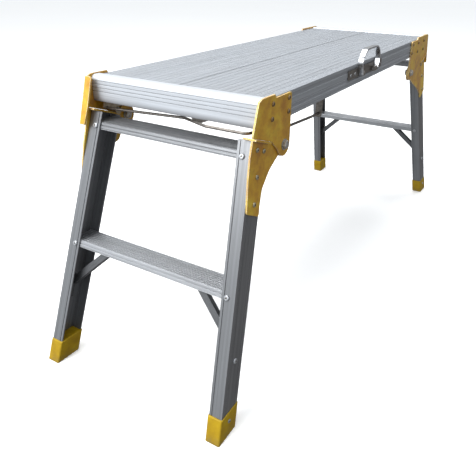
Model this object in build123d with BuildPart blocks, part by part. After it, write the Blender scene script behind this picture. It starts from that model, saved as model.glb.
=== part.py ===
"""Folding work platform: two planked deck, two folding leg frames, carry bail and release wires.

Millimetres. X runs along the deck, Y across it, Z up. The origin is on the floor at the centre.
End A stands at -X. End B is end A turned half a turn about Z. "left" is +Y and
"right" is -Y. End B's brackets and pivot sit END_B_SHIFT further inboard, so its frame folds
underneath the other. Leg-frame coordinates: u runs down the leg from end A's pivot, v runs
inboard, square to the leg.
"""
import os
from math import cos, radians, sin, sqrt

from build123d import *

# ---- driving dimensions -------------------------------------------------------------------
DECK_LENGTH = 890.0
DECK_WIDTH = 330.0
DECK_TOP = 500.0
DECK_BOTTOM = 460.0
END_DEPTH = 23.0
END_CREST = 502.4
SKIN_UNDER = 497.2
SKIN_TOP = 499.2
BAND_HEIGHT = 0.8
BAND_PITCH = 13.3
BAND_WIDTH = 12.0
BAND_COUNT = 12
SCORE_OFFSET = 2.1
JOINT_HALF = 1.2
JOINT_SEAT = 488.0
WEB_THICK = 2.2
WEB_LOW = 474.0
INNER_WEBS = (-56.0, -110.5)

PIVOT_X = -376.0
PIVOT_Z = 421.0
END_B_SHIFT = 52.0
LEG_RAKE = 19.5
FLARE = 0.0765
WEB_AT_PIVOT = 159.4

STILE_FRONT = -85.5
STILE_BACK = -42.5
STILE_FLANGE = 24.0
STILE_WALL = 2.2
STILE_TOP_U = 3.2

TREAD_FRONT = -83.2
TREAD_BACK = -44.8
RAIL_TOP_Z = 430.3
RAIL_HALF = 151.5
STEP_TOP_Z = 230.6
STEP_HALF = 170.0
TREAD_RIB = 1.3
TREAD_SKIN = 2.2
TREAD_SKIRT = 12.0
TREAD_RIBS = 9

PLATE = 3.0
DECK_HALF = DECK_WIDTH / 2
LEG_PLATE_IN = 161.7
BOLT_R = 4.0
BOLT_HOLE_R = 4.06
PLANK_HALF = DECK_LENGTH / 2 - END_DEPTH

FOOT_HEIGHT = 41.3
WIRE_R = 2.3

HINGE_Y = -172.6
HINGE_Z = 479.0
HANDLE_X = -24.5
EYE_REACH = 43.0
EYE_R = 5.0
PIN_R = 2.5
PIN_LENGTH = 13.5
KNUCKLE_REACH = 34.5
KNUCKLE_LENGTH = 10.0
STRAP = 3.2

S = sin(radians(LEG_RAKE))
C = cos(radians(LEG_RAKE))
PIVOT = (PIVOT_X, 0, PIVOT_Z)
V_DIR = (C, 0, -S)
U_DIR = (-S, 0, -C)

LEG_SIDE = Plane(origin=PIVOT, x_dir=V_DIR, z_dir=(0, -1, 0))
LEG_FRONT = Plane(origin=PIVOT, x_dir=(0, 1, 0), z_dir=V_DIR)
STILE_PLANE = Plane(
    origin=(PIVOT_X, -WEB_AT_PIVOT, PIVOT_Z), x_dir=V_DIR, z_dir=(-S, -FLARE, -C)
)
STILE_OUT = STILE_PLANE.y_dir

os.makedirs("parts", exist_ok=True)


# ---- helpers --------------------------------------------------------------------------------
def save(shape, node):
    """Write one node, as one body or a group of separate solids."""
    with BuildPart() as out:
        add(shape)
    out.part.label = node
    export_step(out.part, f"parts/{node}.step")


def mirrored(shape):
    """The same piece on the other side of the deck's long centre plane."""
    with BuildPart() as out:
        mirror(shape, about=Plane.XZ)
    return out.part


def turned(shape):
    """The same piece at end B."""
    with BuildPart() as out:
        add(shape, rotation=(0, 0, 180))
    return out.part


def save_both_ends(shape, node_a, node_b):
    save(shape, node_a)
    save(turned(shape), node_b)


def leg_point(u, v):
    """Row X and Z of a leg-frame point."""
    return (PIVOT_X - S * u + C * v, PIVOT_Z - C * u - S * v)


def side(u, v):
    """Leg-frame point as LEG_SIDE sketch coordinates."""
    return (v, -u)


def across_leg(u):
    """Plane square to the leg at u, facing down the leg."""
    x, z = leg_point(u, 0)
    return Plane(origin=(x, 0, z), z_dir=U_DIR)


def leg_x(z, v):
    """Row X where height z meets the leg-frame line v."""
    u = (PIVOT_Z - S * v - z) / C
    return PIVOT_X - S * u + C * v


def web_half(u):
    """Half-width over the stiles' outer webs at u."""
    return WEB_AT_PIVOT + FLARE * u


# ---- deck -----------------------------------------------------------------------------------
def plank():
    """Right-hand deck extrusion: ribbed skin, grooved side rail, webs and bottom lip."""
    depth = 1.6
    wall_in = -DECK_HALF + 3.2
    outline = [
        (wall_in, DECK_TOP),
        (-DECK_HALF + 0.8, DECK_TOP),
        (-DECK_HALF, DECK_TOP - 0.8),
        (-DECK_HALF, 495),
        (-DECK_HALF + depth, 494),
        (-DECK_HALF + depth, 488.2),
        (-DECK_HALF, 487.2),
        (-DECK_HALF, 479.2),
        (-DECK_HALF + 0.7, 478.8),
        (-DECK_HALF + 0.7, 477.8),
        (-DECK_HALF, 477.4),
        (-DECK_HALF, 475.2),
        (-DECK_HALF + 1.3, 474.6),
        (-DECK_HALF + 1.3, 471.4),
        (-DECK_HALF, 470.6),
        (-DECK_HALF, 466.8),
        (-DECK_HALF + 1.0, 466.2),
        (-DECK_HALF + 1.0, 463.8),
        (-DECK_HALF, 463.0),
        (-DECK_HALF, DECK_BOTTOM + 0.8),
        (-DECK_HALF + 0.8, DECK_BOTTOM),
        (-DECK_HALF + 20, DECK_BOTTOM),
        (-DECK_HALF + 20, DECK_BOTTOM + 2.2),
        (wall_in, DECK_BOTTOM + 2.2),
    ]
    with BuildPart() as out:
        with BuildSketch(Plane.YZ.offset(-PLANK_HALF)):
            with BuildLine():
                Polyline(*outline, close=True)
            make_face()
            with Locations((-(DECK_HALF + JOINT_HALF) / 2, (SKIN_UNDER + SKIN_TOP) / 2)):
                Rectangle(DECK_HALF - JOINT_HALF - 1.0, SKIN_TOP - SKIN_UNDER)
            with BuildLine():
                Polyline(
                    (-0.2, 470.0),
                    (-0.2, JOINT_SEAT),
                    (-JOINT_HALF, JOINT_SEAT),
                    (-JOINT_HALF, SKIN_TOP - 0.2),
                    (-JOINT_HALF - WEB_THICK, SKIN_TOP - 0.2),
                    (-JOINT_HALF - WEB_THICK, 470.0),
                    close=True,
                )
            make_face()
            for web_y in INNER_WEBS:
                with Locations((web_y, (WEB_LOW + SKIN_TOP) / 2 - 0.6)):
                    Rectangle(WEB_THICK, SKIN_TOP - WEB_LOW - 1.2)
                with Locations((web_y, WEB_LOW)):
                    Rectangle(18.0, 2.0)
            with Locations((-5.6, 470.4)):
                Rectangle(10.7, 2.0)
            for i in range(BAND_COUNT):
                band_y = -JOINT_HALF - BAND_PITCH * (i + 0.5) - 0.9
                with BuildLine():
                    Polyline(
                        (band_y - BAND_WIDTH / 2, SKIN_TOP - 0.1),
                        (band_y + BAND_WIDTH / 2, SKIN_TOP - 0.1),
                        (band_y + BAND_WIDTH / 2 - 0.5, SKIN_TOP + BAND_HEIGHT),
                        (band_y - BAND_WIDTH / 2 + 0.5, SKIN_TOP + BAND_HEIGHT),
                        close=True,
                    )
                make_face()
                for score in (-SCORE_OFFSET, SCORE_OFFSET):
                    with Locations((band_y + score, SKIN_TOP + BAND_HEIGHT)):
                        Rectangle(0.8, 0.8, mode=Mode.SUBTRACT)
        extrude(amount=2 * PLANK_HALF)
    return out.part


def end_profile():
    """Hollow cross extrusion that caps the planks at end A."""
    face_x = -DECK_LENGTH / 2
    back_x = face_x + END_DEPTH
    grooves = (494.0, 488.4, 482.5, 476.5)
    with BuildPart() as out:
        with BuildSketch(Plane.XZ.offset(-DECK_HALF)):
            with BuildLine():
                FilletPolyline(
                    (back_x, DECK_BOTTOM),
                    (back_x, END_CREST),
                    (face_x, END_CREST),
                    (face_x, DECK_BOTTOM),
                    radius=(1.5, 5.0, 9.0, 0),
                    close=True,
                )
            make_face()
            with BuildLine():
                FilletPolyline(
                    (back_x - 2, DECK_BOTTOM + 2.2),
                    (back_x - 2, END_CREST - 2.2),
                    (face_x + 2.4, END_CREST - 2.2),
                    (face_x + 2.4, DECK_BOTTOM + 2.2),
                    radius=(0, 3.0, 7.0, 0),
                    close=True,
                )
            make_face(mode=Mode.SUBTRACT)
            for groove_z in grooves:
                with Locations((face_x, groove_z)):
                    Rectangle(1.6, 1.1, mode=Mode.SUBTRACT)
        extrude(amount=2 * DECK_HALF)
        with BuildSketch(Plane.XZ.offset(-DECK_HALF + 6)):
            with Locations((back_x + 5.0, SKIN_UNDER - 1.3)):
                Rectangle(10.2, 2.0)
        extrude(amount=2 * DECK_HALF - 12)
        ledge = Vector(back_x + 5.2, 0, SKIN_UNDER - 1.3)
        for web_y in INNER_WEBS:
            with Locations(ledge + (0, web_y, 0), ledge - (0, web_y, 0)):
                Box(10.4, WEB_THICK + 1.2, 2.4, mode=Mode.SUBTRACT)
        with Locations(ledge):
            Box(10.4, 2 * (JOINT_HALF + WEB_THICK) + 0.6, 2.4, mode=Mode.SUBTRACT)
    return out.part


def platform_bracket(flanged, shift):
    """Right-hand pressed plate that joins the deck rail to the pivot, seen at end A.

    shift moves the pivot and everything inboard of the deck's corner towards the middle.
    """
    pivot_x = PIVOT_X + shift
    lobe = 18.5
    outline = [
        leg_point(-0.4, -99.5),
        (-453.0, 500.7),
        (-444.8, 504.0),
        (-436.5, 504.2),
        (pivot_x - 31.0, 504.0),
        (pivot_x - 29.0, 498.5),
        (pivot_x + 18.5, 498.5),
        (pivot_x + 20.5, 496.0),
        (pivot_x + lobe, PIVOT_Z),
        (pivot_x - 14.1, PIVOT_Z - 9.9),
        leg_point(0.0, -40.0),
        leg_point(-0.4, -46.0),
    ]
    corner = (3.0, 2.5, 6.0, 6.0, 1.0, 1.0, 1.0, 1.0, 1.0, 1.0, 2.0, 1.5)
    strip_in = 154.0
    outside = DECK_HALF + PLATE
    with BuildPart() as out:
        with BuildSketch(Plane.XZ.offset(DECK_HALF)):
            with BuildLine():
                FilletPolyline(*outline, radius=corner, close=True)
            make_face()
            with Locations((pivot_x, PIVOT_Z)):
                Circle(lobe)
                Circle(BOLT_HOLE_R, mode=Mode.SUBTRACT)
        extrude(amount=PLATE)
        if flanged:
            with BuildSketch(LEG_FRONT.offset(-101)):
                with BuildLine():
                    FilletPolyline(
                        (-outside, 50.0),
                        (-strip_in, 50.0),
                        (-strip_in, -2.0),
                        (-strip_in - 3.0, -30.0),
                        (-outside, -30.0),
                        radius=(1.0, 5.0, 4.0, 4.0, 1.5),
                        close=True,
                    )
                make_face()
            extrude(amount=PLATE)
    return out.part


def dome(point, outward, radius, height):
    """One rivet head: a low rounded button sitting on a plate face."""
    with BuildPart() as blank:
        with BuildSketch():
            Circle(radius)
        extrude(amount=height)
        fillet(blank.faces().sort_by(Axis.Z)[-1].edges(), radius=height * 0.8)
    return blank.part.moved(Plane(origin=point, z_dir=outward).location)


def dome_group(seats, radius, height):
    """Several identical rivet heads as separate solids."""
    return [dome(point, outward, radius, height) for point, outward in seats]


def platform_rivet_seats(spots):
    """Right-hand seats on the platform bracket's outer face, from X and Z."""
    return [((x, -DECK_HALF - PLATE, z), (0, -1, 0)) for x, z in spots]


def corner_group(end_a, end_b):
    """Right-hand pieces with their mirror images, the first list at end A, the second at end B."""
    corners = both_sides(end_a)
    for piece in both_sides(end_b):
        corners += turned(piece).solids()
    return corners


def both_sides(shapes):
    """Right-hand pieces and their mirror images, as separate solids."""
    right = Compound(children=list(shapes))
    return list(right.solids()) + list(mirrored(right).solids())


def pivot_bolt(shift):
    """Hexagon-headed bolt through both bracket plates, with its washer outside."""
    outer = Plane.XZ.offset(DECK_HALF + PLATE)
    centre = (PIVOT_X + shift, PIVOT_Z)
    with BuildPart() as out:
        with BuildSketch(outer):
            with Locations(centre):
                Circle(9.0)
        extrude(amount=1.2)
        with BuildSketch(outer.offset(1.2)):
            with Locations(centre):
                RegularPolygon(7.4, 6)
        extrude(amount=4.6)
        chamfer(out.faces().sort_by(Axis.Y)[0].edges(), length=1.0)
        with BuildSketch(outer):
            with Locations(centre):
                Circle(BOLT_R)
        extrude(amount=-12.5)
    return out.part


def pivot_nut(shift):
    """Lock nut and washer inboard of the leg bracket."""
    washer_face = Plane.XZ.offset(LEG_PLATE_IN - 0.3)
    centre = (PIVOT_X + shift, PIVOT_Z)
    with BuildPart() as out:
        with BuildSketch(washer_face):
            with Locations(centre):
                Circle(8.5)
        extrude(amount=-1.2)
        with BuildSketch(washer_face.offset(-1.2)):
            with Locations(centre):
                RegularPolygon(7.4, 6)
        extrude(amount=-5.0)
        with BuildSketch(washer_face):
            with Locations(centre):
                Circle(BOLT_R + 0.02)
        extrude(amount=-8, mode=Mode.SUBTRACT)
    return out.part


# ---- leg frame ------------------------------------------------------------------------------
def stile_section(gap):
    """Channel section, to be placed in STILE_PLANE; gap grows it on every side."""
    front = STILE_FRONT - gap
    back = STILE_BACK + gap
    wall = STILE_WALL + 2 * gap
    with BuildSketch() as section:
        with BuildLine():
            Polyline(
                (front, gap),
                (back, gap),
                (back, -STILE_FLANGE - gap),
                (back - wall, -STILE_FLANGE - gap),
                (back - wall, -STILE_WALL - gap),
                (front + wall, -STILE_WALL - gap),
                (front + wall, -STILE_FLANGE - gap),
                (front, -STILE_FLANGE - gap),
                close=True,
            )
        make_face()
    return section.sketch


def stile():
    """Right-hand leg channel of end A, with its bead and scored lines."""
    with BuildPart() as out:
        with BuildSketch(STILE_PLANE.offset(-20)):
            add(stile_section(0))
            for line_v in (STILE_FRONT + 8, STILE_BACK - 8):
                with Locations((line_v, 0)):
                    Rectangle(1.4, 0.8, mode=Mode.SUBTRACT)
            for edge_v in (STILE_FRONT, STILE_BACK):
                with Locations((edge_v, -STILE_FLANGE + 5.0)):
                    Rectangle(2.0, 1.6, mode=Mode.SUBTRACT)
        extrude(amount=490)
        split(bisect_by=across_leg(STILE_TOP_U), keep=Keep.TOP)
        split(bisect_by=Plane.XY.offset(4), keep=Keep.TOP)
    return out.part


def foot():
    """Right-hand moulded boot that wraps and fills the channel's end."""
    with BuildPart() as out:
        with BuildSketch(STILE_PLANE.offset(380)):
            with Locations(((STILE_FRONT + STILE_BACK) / 2, -STILE_FLANGE / 2 - 0.2)):
                RectangleRounded(STILE_BACK - STILE_FRONT + 4.0, STILE_FLANGE + 3.4, 2.6)
        extrude(amount=110)
        split(bisect_by=Plane.XY, keep=Keep.TOP)
        split(bisect_by=Plane.XY.offset(FOOT_HEIGHT), keep=Keep.BOTTOM)
        chamfer(out.faces().sort_by(Axis.Z)[-1].outer_wire().edges(), length=1.1)
        with BuildSketch(STILE_PLANE.offset(380)):
            add(stile_section(0.06))
        extrude(amount=90.8, mode=Mode.SUBTRACT)
        for i in range(5):
            rib_x = leg_x(0, (STILE_FRONT + STILE_BACK) / 2) - 18 + 9 * i
            with Locations((rib_x, -185, 0)):
                Box(2.2, 60, 2.4, mode=Mode.SUBTRACT)
    return out.part


def tread(top_z, half):
    """Ribbed inverted channel held between the stiles' flanges."""
    wall = 2.0
    low = top_z - TREAD_SKIRT
    skin = top_z - TREAD_RIB
    under = skin - TREAD_SKIN
    with BuildPart() as out:
        with BuildSketch(Plane.XZ.offset(-half)):
            with BuildLine():
                Polyline(
                    (leg_x(skin, TREAD_FRONT), skin),
                    (leg_x(skin, TREAD_BACK), skin),
                    (leg_x(low, TREAD_BACK), low),
                    (leg_x(low, TREAD_BACK - wall), low),
                    (leg_x(under, TREAD_BACK - wall), under),
                    (leg_x(under, TREAD_FRONT + wall), under),
                    (leg_x(low, TREAD_FRONT + wall), low),
                    (leg_x(low, TREAD_FRONT), low),
                    close=True,
                )
            make_face()
            first = leg_x(skin, TREAD_FRONT)
            width = leg_x(skin, TREAD_BACK) - first
            pitch = width / TREAD_RIBS
            for i in range(TREAD_RIBS):
                with Locations((first + pitch * (i + 0.5), skin + TREAD_RIB / 2 - 0.05)):
                    Rectangle(pitch * 0.62, TREAD_RIB + 0.1)
            for groove_z, groove_h in ((low + 1.6, 1.0), (low + 6.4, 1.4)):
                with Locations((leg_x(groove_z, TREAD_FRONT), groove_z)):
                    Rectangle(1.7, groove_h, mode=Mode.SUBTRACT)
        extrude(amount=2 * half)
    return out.part


def brace():
    """Right-hand diagonal strut from under the step to the stile's web, with a tab at each end."""
    high = (-88.0, -231.0)
    low = (-180.0, -321.5)
    half = 6.0
    run = sqrt((low[0] - high[0]) ** 2 + (low[1] - high[1]) ** 2)
    nx = (high[1] - low[1]) / run * half
    ny = (low[0] - high[0]) / run * half
    web_gap = STILE_WALL + 0.1
    tab = 2.6
    with BuildPart() as out:
        with BuildSketch(LEG_FRONT.offset(-69)):
            with BuildLine():
                Polyline(
                    (high[0] + nx, high[1] + ny),
                    (high[0] - nx, high[1] - ny),
                    (low[0] - nx, low[1] - ny),
                    (low[0] + nx, low[1] + ny),
                    close=True,
                )
            make_face()
            with BuildLine():
                Polyline(
                    (-web_half(306) + web_gap, -306),
                    (-web_half(352) + web_gap, -352),
                    (-web_half(352) + web_gap + tab, -352),
                    (-web_half(306) + web_gap + tab, -306),
                    close=True,
                )
            make_face()
            with Locations((-80.0, -231.4)):
                Rectangle(36, 4.4)
            with BuildLine():
                Polyline(
                    (-web_half(280) + web_gap, -280),
                    (-web_half(380) + web_gap, -380),
                    (-230, -380),
                    (-230, -280),
                    close=True,
                )
            make_face(mode=Mode.SUBTRACT)
        extrude(amount=10)
        split(bisect_by=Plane.XY.offset(STEP_TOP_Z - TREAD_RIB - TREAD_SKIN - 0.1), keep=Keep.BOTTOM)
    return out.part


def leg_bracket(inboard, shift):
    """Right-hand pressed plate on the stile's top, bent to follow the flare.

    inboard lists the edge's points between the stile and the pivot's lobe.
    """
    pivot_spot = side(-S * shift, C * shift)
    outline = [
        side(0.0, -93.0),
        side(60.0, -90.0),
        side(108.6, -83.6),
        side(113.4, -45.7),
        side(99.5, -47.4),
        *inboard,
    ]
    corner = (1.0, 20.0, 4.0, 4.0, 12.0, 12.0, 12.0, 4.0, 2.0, 2.0, 4.0)
    bend_u = 28.0
    low_u = 120.0
    low_in = web_half(low_u) + 0.06
    with BuildPart() as out:
        with BuildSketch(LEG_SIDE.offset(150)):
            with BuildLine():
                FilletPolyline(*outline, radius=corner, close=True)
            make_face()
            with Locations(pivot_spot):
                Circle(19.0)
        extrude(amount=30)
        with BuildSketch(LEG_FRONT.offset(-110)):
            with BuildLine():
                Polyline(
                    (-LEG_PLATE_IN, 50),
                    (-LEG_PLATE_IN, -bend_u),
                    (-low_in, -low_u),
                    (-low_in - PLATE, -low_u),
                    (-LEG_PLATE_IN - PLATE, -bend_u),
                    (-LEG_PLATE_IN - PLATE, 50),
                    close=True,
                )
            make_face()
        extrude(amount=200, mode=Mode.INTERSECT)
        with BuildSketch(LEG_SIDE.offset(147)):
            with Locations((-69.5, -1.5)):
                RectangleRounded(47, 3.0, 0.4)
        extrude(amount=23)
        with BuildSketch(LEG_SIDE.offset(140)):
            with Locations(pivot_spot):
                Circle(BOLT_HOLE_R)
        extrude(amount=40, mode=Mode.SUBTRACT)
    return out.part


def leg_bracket_rivet_seats():
    """Rivets through the leg bracket, on its outer face."""
    seats = []
    for u, v in ((53.7, -66.3), (94.4, -65.2)):
        x, z = leg_point(u, v)
        y = -(web_half(u) + 0.06 + PLATE) - 0.12
        seats.append(((x, y, z), STILE_OUT))
    for u, v in ((14.5, -76.5), (14.5, -56.2)):
        x, z = leg_point(u, v)
        seats.append(((x, -LEG_PLATE_IN - PLATE, z), (0, -1, 0)))
    return seats


def frame_rivet_seats():
    """Rivets through the stiles' flanges into the treads, and through the webs into the braces."""
    seats = []
    for y, z in ((-147.0, 424.0), (-163.0, 224.0)):
        for v, way in ((STILE_FRONT, -1), (STILE_BACK, 1)):
            seats.append(((leg_x(z, v), y, z), (way * C, 0, -way * S)))
    u = (PIVOT_Z + S * 64.6 - 121.0) / C
    x, z = leg_point(u, -64.6)
    seats.append(((x, -web_half(u), z), STILE_OUT))
    return seats


def foot_rivet_seats():
    u = (PIVOT_Z + S * 64.6 - 26.0) / C
    x, z = leg_point(u, -64.6)
    return [((x, -web_half(u) - 1.56, z), STILE_OUT)]


# ---- release wires and latch plates ---------------------------------------------------------
def release_wire():
    """Bent rod at end A: long arm under the deck's edge, cross pull, and run to the far plate."""
    with BuildPart() as out:
        with BuildLine() as path:
            FilletPolyline(
                (-196.0, -149.5, 430.5),
                (-235.0, -149.5, 430.5),
                (-317.0, -149.5, 434.6),
                (-458.0, -149.5, 455.5),
                (-458.0, -78.0, 455.5),
                (-428.0, -15.0, 452.0),
                (-430.0, 138.0, 445.5),
                (-430.0, 158.0, 445.5),
                radius=(12.0, 20.0, 8.0, 12.0, 14.0, 12.0),
            )
        with BuildSketch(Plane(origin=path.line @ 0, z_dir=path.line % 0)):
            Circle(WIRE_R)
        sweep()
    return out.part


def latch_plate():
    """Right-hand zinc plate with a round hole for the wire and an oval slot for the guide pin."""
    with BuildPart() as out:
        with BuildSketch(LEG_SIDE.offset(152.1)):
            with BuildLine():
                FilletPolyline(
                    side(-3.4, -67.0),
                    side(-14.0, -67.0),
                    side(-20.0, -56.0),
                    side(-14.0, -25.0),
                    side(2.0, -25.0),
                    side(2.0, -34.0),
                    side(-3.4, -38.0),
                    radius=(1.5, 3.0, 5.0, 3.0, 3.0, 2.0, 1.5),
                    close=True,
                )
            make_face()
        extrude(amount=2.4)
        hole_x, hole_z = -430.0, 445.5
        with BuildSketch(Plane.XZ.offset(150)):
            with Locations((hole_x, hole_z)):
                Circle(WIRE_R + 0.05)
            with Locations((leg_point(-8.0, -34.0)[0] + 3.6, leg_point(-8.0, -34.0)[1])):
                SlotCenterToCenter(8.6, 4.8)
        extrude(amount=6, mode=Mode.SUBTRACT)
    return out.part


def guide_pin():
    """Right-hand pin from the platform bracket through the latch plate's slot."""
    x, z = leg_point(-8.0, -34.0)
    with BuildPart() as out:
        with BuildSketch(Plane.XZ.offset(150.4)):
            with Locations((x, z)):
                Circle(2.0)
        extrude(amount=DECK_HALF - 150.4)
    return out.part


def wire_guide():
    """Pressed strap under the deck's bottom lip that carries the wire's long arm."""
    with BuildPart() as out:
        with BuildSketch(Plane.YZ.offset(-212)):
            with BuildLine():
                FilletPolyline(
                    (-158.0, DECK_BOTTOM),
                    (-146.0, DECK_BOTTOM),
                    (-143.5, 424.0),
                    (-155.5, 424.0),
                    radius=(0, 0, 4.0, 4.0),
                    close=True,
                )
            make_face()
            with Locations((-149.5, 430.5)):
                Circle(WIRE_R + 0.6, mode=Mode.SUBTRACT)
        extrude(amount=3.0)
        with Locations((-216.0, -152.5, DECK_BOTTOM - 1.1)):
            Box(14, 13, 2.2)
    return out.part


def wire_tab():
    """Triangular tab under the end profile, behind the wire's diagonal."""
    with BuildPart() as out:
        with BuildSketch(Plane.YZ.offset(-424)):
            with BuildLine():
                FilletPolyline(
                    (-78.0, DECK_BOTTOM),
                    (-20.0, DECK_BOTTOM),
                    (-32.0, 445.0),
                    (-40.0, 445.0),
                    radius=(0, 0, 3.0, 3.0),
                    close=True,
                )
            make_face()
        extrude(amount=2.0)
    return out.part


# ---- carry bail -----------------------------------------------------------------------------
def handle_plate():
    """Plate on the right-hand rail with two rolled knuckles for the bail."""
    with BuildPart() as out:
        with BuildSketch(Plane.XZ.offset(DECK_HALF)):
            with Locations((HANDLE_X, 482.5)):
                RectangleRounded(190, 17, 4.0)
        extrude(amount=1.8)
        for reach in (-KNUCKLE_REACH, KNUCKLE_REACH):
            with BuildSketch(Plane.YZ.offset(HANDLE_X + reach - KNUCKLE_LENGTH / 2)):
                with Locations((HINGE_Y, HINGE_Z)):
                    Circle(4.6)
                with Locations(((HINGE_Y - DECK_HALF) / 2, HINGE_Z - 3.2)):
                    Rectangle(abs(HINGE_Y) - DECK_HALF, 2.4)
                with Locations((HINGE_Y, HINGE_Z)):
                    Circle(PIN_R + 0.06, mode=Mode.SUBTRACT)
            extrude(amount=KNUCKLE_LENGTH)
    return out.part


def bail():
    """Flat chromed strap bent to an arch, with round eyes and turned-in pins at its ends."""
    half_arch = [(EYE_REACH, HINGE_Z), (45.0, 486.0), (53.5, 503.0), (34.0, 524.4)]
    left = [(HANDLE_X - reach, z) for reach, z in half_arch]
    right = [(HANDLE_X + reach, z) for reach, z in reversed(half_arch)]
    with BuildPart() as out:
        with BuildSketch(Plane.XZ.offset(-HINGE_Y - EYE_R)):
            with BuildLine():
                FilletPolyline(*left, *right, radius=(14.0, 20.0, 29.0, 29.0, 20.0, 14.0))
            trace(line_width=STRAP)
        extrude(amount=2 * EYE_R)
        for reach in (-EYE_REACH, EYE_REACH):
            with BuildSketch(Plane.YZ.offset(HANDLE_X + reach - STRAP / 2)):
                with Locations((HINGE_Y, HINGE_Z)):
                    Circle(EYE_R)
            extrude(amount=STRAP)
        for start in (-EYE_REACH, EYE_REACH - PIN_LENGTH):
            with BuildSketch(Plane.YZ.offset(HANDLE_X + start)):
                with Locations((HINGE_Y, HINGE_Z)):
                    Circle(PIN_R)
            extrude(amount=PIN_LENGTH)
    return out.part


def handle_rivet_seats():
    """Rivets that hold the handle plate to the rail."""
    y = -DECK_HALF - 1.8
    return [((HANDLE_X + reach, y, 482.0), (0, -1, 0)) for reach in (-84, -62, 62, 84)]


# ---- build and write every node -------------------------------------------------------------
plank_right = plank()
save(plank_right, "deck_plank_right")
save(mirrored(plank_right), "deck_plank_left")
save_both_ends(end_profile(), "end_profile_a", "end_profile_b")

save(platform_bracket(False, 0), "platform_bracket_a_right")
save(mirrored(platform_bracket(True, 0)), "platform_bracket_a_left")
save(turned(platform_bracket(False, END_B_SHIFT)), "platform_bracket_b_left")
save(turned(mirrored(platform_bracket(True, END_B_SHIFT))), "platform_bracket_b_right")
outer_spots = [(-413.9, 491.4), (-416.2, 469.6)]
spots_a = outer_spots + [(-365.0, 491.4), (-365.0, 470.6)]
spots_b = outer_spots + [(-361.0, 491.4), (-361.0, 469.6), (-312.0, 491.4), (-311.0, 470.6)]
rivets_a = dome_group(platform_rivet_seats(spots_a), 3.8, 2.1)
rivets_b = dome_group(platform_rivet_seats(spots_b), 3.8, 2.1)
save(corner_group(rivets_a, rivets_b), "platform_bracket_rivets")
save(corner_group([pivot_bolt(0)], [pivot_bolt(END_B_SHIFT)]), "pivot_bolts")
save(corner_group([pivot_nut(0)], [pivot_nut(END_B_SHIFT)]), "pivot_nuts")
save(corner_group([guide_pin()], [guide_pin()]), "latch_guide_pins")
save_both_ends(wire_guide(), "wire_guide_a", "wire_guide_b")
save_both_ends(wire_tab(), "wire_tab_a", "wire_tab_b")

save(handle_plate(), "handle_plate")
save(dome_group(handle_rivet_seats(), 3.0, 1.4), "handle_plate_rivets")
save(bail(), "handle_bail")

for name, right_piece in (
    ("stile", stile()),
    ("foot", foot()),
    ("brace", brace()),
    ("latch_plate", latch_plate()),
):
    save_both_ends(right_piece, f"{name}_a_right", f"{name}_b_left")
    save_both_ends(mirrored(right_piece), f"{name}_a_left", f"{name}_b_right")

lobe_a = [side(17.5, -5.6), side(14.0, 12.0), side(-10.0, -14.0), side(0.0, -30.0)]
slim = [side(71.4, -45.7), side(43.1, -29.8), *lobe_a]
full = [side(69.0, -40.0), side(48.0, -9.0), *lobe_a]
wide = [
    side(72.0, -27.0),
    side(40.0, 5.0),
    side(0.0, 43.0),
    side(-3.4, 61.0),
    side(-27.0, 35.0),
    side(0.0, -20.0),
]
save(leg_bracket(slim, 0), "leg_bracket_a_right")
save(mirrored(leg_bracket(full, 0)), "leg_bracket_a_left")
wide_bracket = turned(leg_bracket(wide, END_B_SHIFT))
save(wide_bracket, "leg_bracket_b_left")
save(mirrored(wide_bracket), "leg_bracket_b_right")

save_both_ends(tread(RAIL_TOP_Z, RAIL_HALF), "top_rail_a", "top_rail_b")
save_both_ends(tread(STEP_TOP_Z, STEP_HALF), "step_a", "step_b")
for name, seats, radius, height in (
    ("leg_bracket_rivets", leg_bracket_rivet_seats(), 3.8, 2.1),
    ("frame_rivets", frame_rivet_seats(), 4.8, 2.4),
    ("foot_rivets", foot_rivet_seats(), 3.4, 1.7),
):
    group = Compound(children=both_sides(dome_group(seats, radius, height)))
    save_both_ends(group, f"{name}_a", f"{name}_b")
save_both_ends(release_wire(), "release_wire_a", "release_wire_b")
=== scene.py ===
from math import cos, radians, sin

import bmesh
import bpy
import numpy as np
from mathutils import Matrix, Vector

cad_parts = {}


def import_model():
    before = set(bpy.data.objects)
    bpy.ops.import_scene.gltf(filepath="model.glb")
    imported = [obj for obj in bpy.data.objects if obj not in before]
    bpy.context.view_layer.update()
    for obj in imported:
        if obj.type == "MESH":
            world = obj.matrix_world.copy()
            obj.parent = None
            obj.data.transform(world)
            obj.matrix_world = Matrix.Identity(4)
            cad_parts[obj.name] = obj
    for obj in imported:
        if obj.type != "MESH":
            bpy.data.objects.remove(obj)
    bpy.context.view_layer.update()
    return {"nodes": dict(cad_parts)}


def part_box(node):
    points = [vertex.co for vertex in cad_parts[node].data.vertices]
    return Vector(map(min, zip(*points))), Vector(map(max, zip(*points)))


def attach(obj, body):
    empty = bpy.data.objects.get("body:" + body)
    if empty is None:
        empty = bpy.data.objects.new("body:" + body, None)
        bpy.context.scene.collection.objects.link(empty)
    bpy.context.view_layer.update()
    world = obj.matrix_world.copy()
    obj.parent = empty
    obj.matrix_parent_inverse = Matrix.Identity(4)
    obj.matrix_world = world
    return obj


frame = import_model()

MM = 0.001

# ---- camera: place in metres, angles in degrees, lens in mm, shift as a share of the frame ----
CAMERA_AT = Vector((-1.0564, -0.5222, 0.6710))
CAMERA_YAW = 30.10
CAMERA_PITCH = -28.36
CAMERA_ROLL = 0.74
CAMERA_LENS = 38.39
CAMERA_SHIFT = (-0.0475, -0.004)

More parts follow.
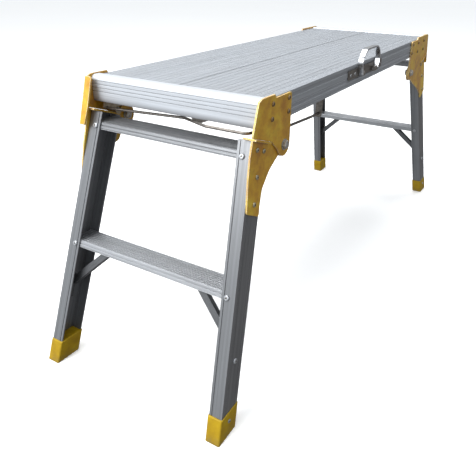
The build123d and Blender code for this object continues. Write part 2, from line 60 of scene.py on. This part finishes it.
# ---- studio: place, target, size and watts of each soft light, then the dome and the floor ----
LIGHTS = {
    "key": ((-2.6, 0.9, 2.0), (-0.2, 0.0, 0.3), (1.8, 1.8), 78.0),
    "top": ((0.2, 0.5, 3.2), (0.0, 0.0, 0.4), (3.0, 2.0), 105.0),
    "fill": ((0.6, -3.2, 1.2), (0.0, 0.0, 0.3), (3.0, 1.6), 9.0),
}
DOME_BRIGHT_SIDE = Vector((-0.45, 0.55, 0.70))
DOME_DARK = (0.21, 0.205, 0.205)
DOME_LIGHT = (0.93, 0.97, 1.0)
BACKDROP = (0.94, 0.95, 0.96)
FLOOR_REACH = 30.0
FLOOR_DROP = 0.2 * MM
FLOOR_PALE = (0.97, 0.97, 0.97)
FLOOR_GLOW = 0.18

# ---- directions the extrusions run in --------------------------------------------------------
RAKE = radians(19.5)
FLARE = 0.0765
BRACE_SPREAD = 0.71
BRACE_DROP = -0.70
ALONG_DECK = (1, 0, 0)
ACROSS_DECK = (0, 1, 0)
END_SIGN = {"a": -1, "b": 1}
HAND_SIGN = {"left": 1, "right": -1}

# ---- blind rivets: stem radius, and the lip round it as (share of the radius, height in mm) ---
STEM_RADIUS = 1.1 * MM
SMALL_STEM_RADIUS = 0.9 * MM
STEM_LIP = ((1.5, -0.1), (1.3, 0.16), (1.0, 0.18), (0.9, 0.02))


# ---- node helpers ----------------------------------------------------------------------------
# Shader inputs whose names are not plain title case.
SOCKETS = {"specular_ior_level": "Specular IOR Level"}


class Nodes:
    """A short way to add and join shader nodes in one tree."""

    def __init__(self, name):
        self.material = bpy.data.materials.new(name)
        self.material.use_nodes = True
        self.tree = self.material.node_tree
        self.tree.nodes.clear()
        self.output = self.add("ShaderNodeOutputMaterial")
        self.shader = self.add("ShaderNodeBsdfPrincipled")
        self.tree.links.new(self.shader.outputs["BSDF"], self.output.inputs["Surface"])

    def add(self, kind, **settings):
        node = self.tree.nodes.new(kind)
        for key, value in settings.items():
            setattr(node, key, value)
        return node

    def put(self, target, in_name, value):
        """Join an output to an input, or set a plain value."""
        if isinstance(value, bpy.types.NodeSocket):
            self.tree.links.new(value, target.inputs[in_name])
        else:
            target.inputs[in_name].default_value = value

    def position(self):
        return self.add("ShaderNodeTexCoord").outputs["Object"]

    def mesh_normal(self):
        return self.add("ShaderNodeNewGeometry").outputs["Normal"]

    def vector(self, operation, first, second=None, scale=None):
        node = self.add("ShaderNodeVectorMath", operation=operation)
        self.put(node, 0, first)
        if second is not None:
            self.put(node, 1, second)
        if scale is not None:
            self.put(node, "Scale", scale)
        return node.outputs["Value" if operation == "DOT_PRODUCT" else "Vector"]

    def math(self, operation, first, second=0.0, clamp=False):
        node = self.add("ShaderNodeMath", operation=operation, use_clamp=clamp)
        self.put(node, 0, first)
        self.put(node, 1, second)
        return node.outputs[0]

    def noise(self, coordinate, scale, detail=4.0, roughness=0.55):
        node = self.add("ShaderNodeTexNoise")
        self.put(node, "Vector", coordinate)
        self.put(node, "Scale", scale)
        self.put(node, "Detail", detail)
        self.put(node, "Roughness", roughness)
        return node.outputs["Fac"]

    def ramp(self, factor, stops):
        """Colour picked by a factor from (place, colour) stops."""
        node = self.add("ShaderNodeValToRGB")
        self.put(node, 0, factor)
        elements = node.color_ramp.elements
        while len(elements) < len(stops):
            elements.new(0.5)
        for element, (place, colour) in zip(elements, stops):
            element.position = place
            element.color = (*colour, 1.0)
        return node.outputs["Color"]

    def spread(self, factor, low, high, to_low=0.0, to_high=1.0):
        """Map low..high to to_low..to_high, and hold the ends."""
        node = self.add("ShaderNodeMapRange")
        self.put(node, "Value", factor)
        self.put(node, "From Min", low)
        self.put(node, "From Max", high)
        self.put(node, "To Min", to_low)
        self.put(node, "To Max", to_high)
        return node.outputs["Result"]

    def mix(self, factor, first, second):
        node = self.add("ShaderNodeMix", data_type="RGBA")
        self.put(node, 0, factor)
        self.put(node, 6, first)
        self.put(node, 7, (*second, 1.0))
        return node.outputs[2]

    def streaks(self, axis, across, along):
        """Position stretched along an extrusion's axis, so noise makes die lines."""
        place = self.position()
        run = self.vector("DOT_PRODUCT", place, tuple(axis))
        flat = self.vector("SCALE", place, scale=across)
        pull = self.math("MULTIPLY", run, along - across)
        line = self.vector("SCALE", tuple(axis), scale=pull)
        return self.vector("ADD", flat, line)

    def rounded(self, radius):
        """Surface normal with the sharp edges rounded over."""
        node = self.add("ShaderNodeBevel", samples=4)
        self.put(node, "Radius", radius)
        return node.outputs["Normal"]

    def edges(self, soft_normal, strength):
        """1 on edges and 0 on flats, from how far the rounded normal leans."""
        lean = self.vector("DOT_PRODUCT", soft_normal, self.mesh_normal())
        return self.math("MULTIPLY", self.math("SUBTRACT", 1.0, lean), strength, clamp=True)

    def part_of(self, vector, letter):
        """One of a vector's X, Y and Z."""
        node = self.add("ShaderNodeSeparateXYZ")
        self.put(node, 0, vector)
        return node.outputs[letter]

    def facing(self, letter):
        """How far the surface looks along X, Y or Z, from -1 to 1."""
        return self.part_of(self.mesh_normal(), letter)

    def sideways(self):
        """1 on faces that look along the deck or up and down, 0 on faces that look across it."""
        return self.math("LESS_THAN", self.math("ABSOLUTE", self.facing("Y")), 0.5)

    def hollow_shade_and_dirt(self, distance):
        """1 in corners, grooves and joints, 0 in the open; the dark colour laid in with it is painted
        shade, with some dirt.
        """
        node = self.add("ShaderNodeAmbientOcclusion", samples=8)
        self.put(node, "Distance", distance)
        return self.math("SUBTRACT", 1.0, node.outputs["AO"], clamp=True)

    def bump(self, height, strength, distance, normal):
        node = self.add("ShaderNodeBump")
        self.put(node, "Height", height)
        self.put(node, "Strength", strength)
        self.put(node, "Distance", distance)
        self.put(node, "Normal", normal)
        return node.outputs["Normal"]

    def surface(self, **sockets):
        """Fill the shader's inputs, named with underscores, and return the material."""
        for name, value in sockets.items():
            self.put(self.shader, SOCKETS.get(name, name.replace("_", " ").title()), value)
        return self.material


# ---- materials -------------------------------------------------------------------------------
def extruded_aluminium(
    name, axis, light, dark, rough, metallic=0.7, blue=0.0, dirt_and_shade=0.85, painted_top_shade=0.0, painted_shade_below=None
):
    """Mill finish extrusion: die lines, faint handling marks, bright worn edges, painted shade with some
    dirt in the grooves.

    blue cools the tint. The last three arguments set painted shade: how dark the grooves get (painted
    shade with some dirt), how far the faces that look up are darkened, and the height in metres along a
    lower lip where the painted shade is darkest.
    """
    n = Nodes(name)
    tint = (0.94 - blue, 0.97, 1.02 + blue)
    fine = n.noise(n.streaks(axis, 900.0, 6.0), 1.0, detail=3.0)
    broad = n.noise(n.streaks(axis, 160.0, 2.0), 1.0, detail=3.0)
    clouds = n.noise(n.position(), 14.0, detail=5.0)
    marks = n.noise(n.position(), 220.0, detail=2.0)
    soft = n.rounded(0.6 * MM)
    edge = n.edges(soft, 3.0)
    lines = n.math("ADD", n.math("MULTIPLY", fine, 0.5), n.math("MULTIPLY", broad, 0.5))
    tone = n.ramp(
        lines,
        [
            (0.30, tuple(dark * share for share in tint)),
            (0.50, tuple((dark + light) / 2 * share for share in tint)),
            (0.70, tuple(light * share for share in tint)),
        ],
    )
    tone = n.mix(n.spread(clouds, 0.35, 0.75, 0.0, 0.30), tone, (dark, dark, dark * 1.03))
    tone = n.mix(n.math("MULTIPLY", edge, 0.4), tone, (0.78, 0.79, 0.80))
    # Painted shade, with some dirt, in grooves, corners and joints.
    tone = n.mix(n.spread(n.hollow_shade_and_dirt(4 * MM), 0.25, 0.85, 0.0, dirt_and_shade), tone, (0.045, 0.045, 0.05))
    # Painted shade: faces that look up are darkened by how far they face up.
    if painted_top_shade:
        tone = n.mix(n.spread(n.facing("Z"), 0.7, 0.98, 0.0, painted_top_shade), tone, (0.30, 0.31, 0.33))
    # Painted shade along the lower lip: darker towards the bottom of the profile, darkest at the given
    # height.
    if painted_shade_below is not None:
        lip_shade = n.spread(n.part_of(n.position(), "Z"), painted_shade_below + 10 * MM, painted_shade_below, 0.0, 0.85)
        tone = n.mix(lip_shade, tone, (0.13, 0.13, 0.135))
    grime = n.noise(n.streaks(axis, 90.0, 3.0), 1.0, detail=4.0)
    tone = n.mix(n.spread(grime, 0.55, 0.80, 0.0, 0.30), tone, (0.20, 0.20, 0.21))
    gloss = n.spread(lines, 0.3, 0.7, rough + 0.10, rough - 0.06)
    gloss = n.math("ADD", gloss, n.spread(clouds, 0.3, 0.8, -0.03, 0.08))
    height = n.math("ADD", n.math("MULTIPLY", fine, 0.9), n.math("MULTIPLY", marks, 0.1))
    return n.surface(
        base_color=tone,
        metallic=metallic,
        roughness=gloss,
        normal=n.bump(height, 0.25, 0.1 * MM, soft),
    )


def yellow_coat():
    """Ochre coating on pressed steel: orange peel, scuffs, painted shade with some rusty dirt in the
    corners, pale worn edges with a painted highlight on the plate rims.
    """
    n = Nodes("yellow_coat")
    place = n.position()
    clouds = n.noise(place, 26.0, detail=6.0, roughness=0.65)
    blotch = n.noise(place, 75.0, detail=5.0, roughness=0.6)
    peel = n.noise(place, 900.0, detail=2.0)
    scuff = n.noise(n.streaks((0.3, 0.1, 0.95), 700.0, 40.0), 1.0, detail=5.0, roughness=0.7)
    soft = n.rounded(0.8 * MM)
    edge = n.edges(soft, 3.2)
    tone = n.ramp(
        clouds,
        [(0.34, (0.45, 0.200, 0.014)), (0.50, (0.63, 0.350, 0.020)), (0.66, (0.72, 0.505, 0.038))],
    )
    tone = n.mix(n.spread(blotch, 0.50, 0.72, 0.0, 0.45), tone, (0.33, 0.155, 0.018))
    tone = n.mix(n.spread(scuff, 0.58, 0.74, 0.0, 0.45), tone, (0.36, 0.22, 0.06))
    # Painted shade, with some rusty dirt, in the corners.
    tone = n.mix(n.spread(n.hollow_shade_and_dirt(6 * MM), 0.25, 0.85, 0.0, 0.85), tone, (0.085, 0.040, 0.018))
    # Cream on the edges: worn paint on all edges, and a painted highlight on the plate rims that look
    # along the deck or up and down.
    rim_highlight = n.spread(n.edges(n.rounded(2 * MM), 1.0), 0.01, 0.10)
    rim_highlight = n.math("MULTIPLY", rim_highlight, n.sideways(), clamp=True)
    rub = n.spread(n.noise(place, 160.0), 0.30, 0.50, 0.45, 1.0)
    wear_and_highlight = n.math("MULTIPLY", n.math("MAXIMUM", edge, rim_highlight), rub, clamp=True)
    tone = n.mix(wear_and_highlight, tone, (0.92, 0.86, 0.66))
    gloss = n.spread(clouds, 0.3, 0.8, 0.30, 0.46)
    return n.surface(
        base_color=tone,
        metallic=0.1,
        roughness=n.math("ADD", gloss, n.spread(scuff, 0.6, 0.75, 0.0, 0.18)),
        normal=n.bump(peel, 0.25, 0.15 * MM, soft),
        coat_weight=0.2,
        coat_roughness=0.25,
    )


def yellow_rubber():
    """Moulded boot: matt grain, dust near the sole, painted shade with some dust in the corners, and a
    painted highlight with some scuffing on the rounded edges.
    """
    n = Nodes("yellow_rubber")
    place = n.position()
    clouds = n.noise(place, 40.0, detail=5.0)
    grain = n.noise(place, 1500.0, detail=2.0)
    low = n.spread(n.part_of(place, "Z"), 16 * MM, 0.0, 0.0, 0.75)
    soft = n.rounded(3 * MM)
    edge = n.edges(soft, 3.0)
    tone = n.ramp(
        clouds,
        [(0.3, (0.30, 0.175, 0.001)), (0.6, (0.43, 0.275, 0.002)), (0.8, (0.49, 0.335, 0.004))],
    )
    # Dust near the sole: patchy, and darker towards the bottom.
    dirt_and_shade = n.math("MULTIPLY", low, n.spread(n.noise(place, 120.0), 0.35, 0.65), clamp=True)
    tone = n.mix(dirt_and_shade, tone, (0.20, 0.15, 0.05))
    # Painted shade, with some dust, in the corners.
    tone = n.mix(n.spread(n.hollow_shade_and_dirt(5 * MM), 0.25, 0.85, 0.0, 0.7), tone, (0.10, 0.06, 0.012))
    # Bright yellow on the rounded edges: a painted highlight, with some scuffing.
    tone = n.mix(n.math("MULTIPLY", edge, 0.25), tone, (0.80, 0.66, 0.14))
    return n.surface(
        base_color=tone,
        roughness=n.spread(clouds, 0.3, 0.8, 0.46, 0.62),
        specular_ior_level=0.3,
        normal=n.bump(n.math("ADD", grain, clouds), 0.30, 0.3 * MM, soft),
    )


def chrome():
    """Bright plating with hairline scratches and faint smears."""
    n = Nodes("chrome")
    place = n.position()
    hair = n.noise(n.streaks((0.9, 0.0, 0.4), 1800.0, 30.0), 1.0, detail=4.0)
    smear = n.noise(place, 60.0, detail=5.0)
    soft = n.rounded(0.6 * MM)
    tone = n.ramp(smear, [(0.35, (0.56, 0.57, 0.59)), (0.7, (0.70, 0.70, 0.71))])
    film = n.spread(smear, 0.35, 0.75, 0.10, 0.26)
    return n.surface(
        base_color=tone,
        metallic=1.0,
        roughness=n.math("ADD", film, n.spread(hair, 0.5, 0.8, 0.0, 0.12)),
        normal=n.bump(hair, 0.12, 0.08 * MM, soft),
    )


def zinc():
    """Plated steel: tan patchy zinc with dull spots, and painted shade with some dirt in the corners."""
    n = Nodes("zinc")
    place = n.position()
    patch = n.noise(place, 90.0, detail=5.0)
    spots = n.noise(place, 420.0, detail=3.0)
    soft = n.rounded(0.5 * MM)
    tone = n.ramp(
        patch,
        [(0.32, (0.30, 0.23, 0.15)), (0.55, (0.52, 0.44, 0.32)), (0.75, (0.66, 0.60, 0.50))],
    )
    tone = n.mix(n.spread(spots, 0.58, 0.70, 0.0, 0.5), tone, (0.22, 0.19, 0.15))
    # Painted shade, with some dirt, in the corners.
    tone = n.mix(n.spread(n.hollow_shade_and_dirt(3 * MM), 0.2, 0.8, 0.0, 0.8), tone, (0.05, 0.04, 0.03))
    return n.surface(
        base_color=tone,
        metallic=0.8,
        roughness=n.spread(patch, 0.3, 0.8, 0.30, 0.50),
        normal=n.bump(spots, 0.20, 0.15 * MM, soft),
    )


def dull_metal(name, colour):
    """Turned or drawn metal with pitting, and a dark ring of painted shade, with some dirt, where it
    meets a plate.
    """
    n = Nodes(name)
    place = n.position()
    pits = n.noise(place, 1300.0, detail=3.0)
    film = n.noise(place, 260.0, detail=4.0)
    tone = n.ramp(film, [(0.35, tuple(c * 0.55 for c in colour)), (0.65, colour)])
    # Painted shade, with some dirt, where the part meets a plate.
    tone = n.mix(n.spread(n.hollow_shade_and_dirt(2.5 * MM), 0.25, 0.75, 0.0, 0.9), tone, (0.03, 0.026, 0.024))
    return n.surface(
        base_color=tone,
        metallic=0.8,
        roughness=n.spread(film, 0.3, 0.8, 0.32, 0.52),
        normal=n.bump(pits, 0.25, 0.12 * MM, n.rounded(0.3 * MM)),
    )


# ---- put the materials on the CAD nodes ------------------------------------------------------
def dress(node, material):
    piece = frame["nodes"][node]
    piece.data.materials.clear()
    piece.data.materials.append(material)


def stile_axis(end, hand):
    """Direction down a stile."""
    return Vector((END_SIGN[end] * sin(RAKE), HAND_SIGN[hand] * FLARE, -cos(RAKE))).normalized()


def dress_legs():
    """Stiles and braces each run their own way, so each gets its own die lines."""
    for end in END_SIGN:
        for hand in HAND_SIGN:
            side = f"{end}_{hand}"
            axis = stile_axis(end, hand)
            # The stile and brace tones are set darker than the lit aluminium: painted shade on one
            # finish.
            metal = extruded_aluminium(f"stile_aluminium_{side}", axis, light=0.34, dark=0.17, rough=0.36)
            dress(f"stile_{side}", metal)
            lean = Vector((0, HAND_SIGN[hand] * BRACE_SPREAD, BRACE_DROP))
            strut = extruded_aluminium(f"strut_aluminium_{side}", lean, light=0.19, dark=0.10, rough=0.44)
            dress(f"brace_{side}", strut)


def dress_rest():
    """Each other node gets the finish of the first prefix in the table that its name starts with."""
    rivet_bright = dull_metal("rivet_bright", (0.58, 0.60, 0.63))
    wire_steel = dull_metal("wire_steel", (0.26, 0.235, 0.21))
    bolt_metal = dull_metal("bolt_metal", (0.66, 0.64, 0.60))
    coat = yellow_coat()
    # All the aluminium is one finish; its light and dark tones are set part by part to how lit each part
    # is, brighter on the end profiles and steps and darker on the rails: painted light and shade.
    plank_metal = extruded_aluminium(
        "plank_aluminium", ALONG_DECK, light=0.50, dark=0.28, rough=0.50, metallic=0.35, blue=0.03
    )
    # The end profiles get painted shade on faces that look up and along their lower lip.
    cross_metal = extruded_aluminium(
        "cross_aluminium",
        ACROSS_DECK,
        light=0.76,
        dark=0.52,
        rough=0.50,
        metallic=0.35,
        blue=0.02,
        painted_top_shade=0.45,
        painted_shade_below=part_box("end_profile_a")[0][2],
    )
    step_metal = extruded_aluminium(
        "step_aluminium", ACROSS_DECK, light=0.60, dark=0.34, rough=0.38, dirt_and_shade=0.45
    )
    rail_metal = extruded_aluminium(
        "rail_aluminium", ACROSS_DECK, light=0.36, dark=0.18, rough=0.40, dirt_and_shade=0.6
    )
    finishes = {
        "platform_bracket_rivets": dull_metal("rivet_tanned", (0.40, 0.27, 0.14)),
        "leg_bracket_rivets": dull_metal("rivet_brassy", (0.62, 0.58, 0.42)),
        "handle_plate_rivets": rivet_bright,
        "frame_rivets": rivet_bright,
        "foot_rivets": rivet_bright,
        "deck_plank": plank_metal,
        "end_profile": cross_metal,
        "top_rail": rail_metal,
        "step": step_metal,
        "release_wire": wire_steel,
        "wire": wire_steel,
        "handle_plate": wire_steel,
        "handle_bail": chrome(),
        "pivot": bolt_metal,
        "latch_guide_pins": bolt_metal,
        "latch_plate": zinc(),
        "platform_bracket": coat,
        "leg_bracket": coat,
        "foot": yellow_rubber(),
    }
    for name in frame["nodes"]:
        if not name.startswith(("stile", "brace")):
            prefix = next(start for start in finishes if name.startswith(start))
            dress(name, finishes[prefix])


# ---- small pieces that the CAD leaves out ----------------------------------------------------
def islands(piece):
    """The separate solids of a node, each as an array of its vertices."""
    work = bmesh.new()
    work.from_mesh(piece.data)
    bmesh.ops.remove_doubles(work, verts=work.verts, dist=1e-6)
    work.verts.ensure_lookup_table()
    seen = set()
    groups = []
    for start in work.verts:
        if start.index in seen:
            continue
        stack = [start]
        seen.add(start.index)
        found = []
        while stack:
            vert = stack.pop()
            found.append(tuple(vert.co))
            for edge in vert.link_edges:
                other = edge.other_vert(vert)
                if other.index not in seen:
                    seen.add(other.index)
                    stack.append(other)
        groups.append(np.array(found))
    work.free()
    return groups


def rivet_top(points):
    """Where a rivet's crown is and which way it faces; its widest ring is on the plate side."""
    centre = points.mean(axis=0)
    normal = np.linalg.svd(points - centre)[2][2]
    middle = (points.max(axis=0) + points.min(axis=0)) / 2
    heights = (points - middle) @ normal
    flat = points - middle - np.outer(heights, normal)
    reach = np.linalg.norm(flat, axis=1)
    if heights[reach > 0.96 * reach.max()].mean() > 0:
        normal = -normal
        heights = -heights
    return middle + normal * heights.max(), normal


def lathe(profile, steps=20):
    """Closed mesh made by turning a profile of (radius, height) about Z."""
    verts = []
    faces = []
    for radius, height in profile:
        for k in range(steps):
            angle = 2 * np.pi * k / steps
            verts.append((radius * np.cos(angle), radius * np.sin(angle), height))
    for ring in range(len(profile) - 1):
        for k in range(steps):
            a = ring * steps + k
            b = ring * steps + (k + 1) % steps
            faces.append((a, b, b + steps, a + steps))
    faces.append(tuple(reversed(range(steps))))
    faces.append(tuple(range((len(profile) - 1) * steps, len(profile) * steps)))
    return verts, faces


def mandrels(node, body, radius, material):
    """The broken mandrel in each blind rivet's crown: a rolled lip round a sunk stem."""
    lip_verts, lip_faces = lathe([(share * radius, height * MM) for share, height in STEM_LIP])
    verts = []
    faces = []
    for points in islands(frame["nodes"][node]):
        top, normal = rivet_top(points)
        turn = Vector(normal).to_track_quat("Z", "Y").to_matrix()
        base = len(verts)
        verts += [tuple(turn @ Vector(v) + Vector(top)) for v in lip_verts]
        faces += [tuple(base + i for i in face) for face in lip_faces]
    mesh = bpy.data.meshes.new(f"{node}_mandrels")
    mesh.from_pydata(verts, [], faces)
    mesh.materials.append(material)
    for polygon in mesh.polygons:
        polygon.use_smooth = True
    piece = bpy.data.objects.new(f"{node}_mandrels", mesh)
    bpy.context.collection.objects.link(piece)
    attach(piece, body)


def all_mandrels():
    dark = dull_metal("mandrel_dark", (0.15, 0.13, 0.11))
    mandrels("platform_bracket_rivets", "deck", STEM_RADIUS, dark)
    mandrels("handle_plate_rivets", "deck", SMALL_STEM_RADIUS, dark)
    for end in END_SIGN:
        for group in ("leg_bracket_rivets", "frame_rivets", "foot_rivets"):
            mandrels(f"{group}_{end}", f"leg_{end}", STEM_RADIUS, dark)


# ---- stage, light and camera -----------------------------------------------------------------
def floor():
    """A pale floor that sends the object no light or reflection, and glows a little to stay even."""
    n = Nodes("floor_pale")
    shade = n.noise(n.position(), 0.8, detail=2.0)
    material = n.surface(
        base_color=n.ramp(shade, [(0.3, tuple(c * 0.985 for c in FLOOR_PALE)), (0.7, FLOOR_PALE)]),
        roughness=1.0,
        emission_color=(1, 1, 1, 1),
        emission_strength=FLOOR_GLOW,
    )
    corners = [(-1, -1), (1, -1), (1, 1), (-1, 1)]
    verts = [(x * FLOOR_REACH, y * FLOOR_REACH, -FLOOR_DROP) for x, y in corners]
    mesh = bpy.data.meshes.new("floor")
    mesh.from_pydata(verts, [], [(0, 1, 2, 3)])
    mesh.materials.append(material)
    piece = bpy.data.objects.new("floor", mesh)
    piece.visible_diffuse = False
    piece.visible_glossy = False
    bpy.context.collection.objects.link(piece)


def area_light(name, place, target, size, power):
    data = bpy.data.lights.new(name, "AREA")
    data.shape = "RECTANGLE"
    data.size, data.size_y = size
    data.energy = power
    lamp = bpy.data.objects.new(name, data)
    lamp.location = place
    lamp.rotation_euler = (Vector(target) - Vector(place)).to_track_quat("-Z", "Y").to_euler()
    bpy.context.collection.objects.link(lamp)


def world():
    """A studio dome, bright overhead and to the left and darker below and to the right.

    It lights the object, and the camera itself sees a plain pale backdrop.
    """
    sky = bpy.data.worlds.new("studio")
    sky.use_nodes = True
    tree = sky.node_tree
    tree.nodes.clear()
    out = tree.nodes.new("ShaderNodeOutputWorld")
    back = tree.nodes.new("ShaderNodeBackground")
    coord = tree.nodes.new("ShaderNodeTexCoord")
    dot = tree.nodes.new("ShaderNodeVectorMath")
    dot.operation = "DOT_PRODUCT"
    dot.inputs[1].default_value = tuple(DOME_BRIGHT_SIDE.normalized())
    span = tree.nodes.new("ShaderNodeMapRange")
    span.inputs["From Min"].default_value = -0.8
    span.inputs["From Max"].default_value = 0.9
    ramp = tree.nodes.new("ShaderNodeValToRGB")
    ramp.color_ramp.elements[0].color = (*DOME_DARK, 1)
    ramp.color_ramp.elements[1].color = (*DOME_LIGHT, 1)
    seen = tree.nodes.new("ShaderNodeLightPath")
    choice = tree.nodes.new("ShaderNodeMix")
    choice.data_type = "RGBA"
    choice.inputs[7].default_value = (*BACKDROP, 1)
    tree.links.new(coord.outputs["Generated"], dot.inputs[0])
    tree.links.new(dot.outputs["Value"], span.inputs["Value"])
    tree.links.new(span.outputs["Result"], ramp.inputs[0])
    tree.links.new(seen.outputs["Is Camera Ray"], choice.inputs[0])
    tree.links.new(ramp.outputs["Color"], choice.inputs[6])
    tree.links.new(choice.outputs[2], back.inputs["Color"])
    tree.links.new(back.outputs[0], out.inputs[0])
    bpy.context.scene.world = sky


def camera():
    yaw = radians(CAMERA_YAW)
    pitch = radians(CAMERA_PITCH)
    roll = radians(CAMERA_ROLL)
    ahead = Vector((cos(yaw) * cos(pitch), sin(yaw) * cos(pitch), sin(pitch)))
    level = ahead.cross(Vector((0, 0, 1))).normalized()
    upright = level.cross(ahead)
    right = level * cos(roll) + upright * sin(roll)
    up = upright * cos(roll) - level * sin(roll)
    data = bpy.data.cameras.new("view")
    data.sensor_width = 36.0
    data.lens = CAMERA_LENS
    data.shift_x, data.shift_y = CAMERA_SHIFT
    data.clip_start = 0.01
    data.clip_end = 100.0
    eye = bpy.data.objects.new("view", data)
    eye.matrix_world = Matrix(
        (
            (right.x, up.x, -ahead.x, CAMERA_AT.x),
            (right.y, up.y, -ahead.y, CAMERA_AT.y),
            (right.z, up.z, -ahead.z, CAMERA_AT.z),
            (0, 0, 0, 1),
        )
    )
    bpy.context.collection.objects.link(eye)
    bpy.context.scene.camera = eye


dress_legs()
dress_rest()
all_mandrels()
bpy.context.scene.view_settings.view_transform = "Standard"
floor()
world()
for name, (place, target, size, power) in LIGHTS.items():
    area_light(name, place, target, size, power)
camera()
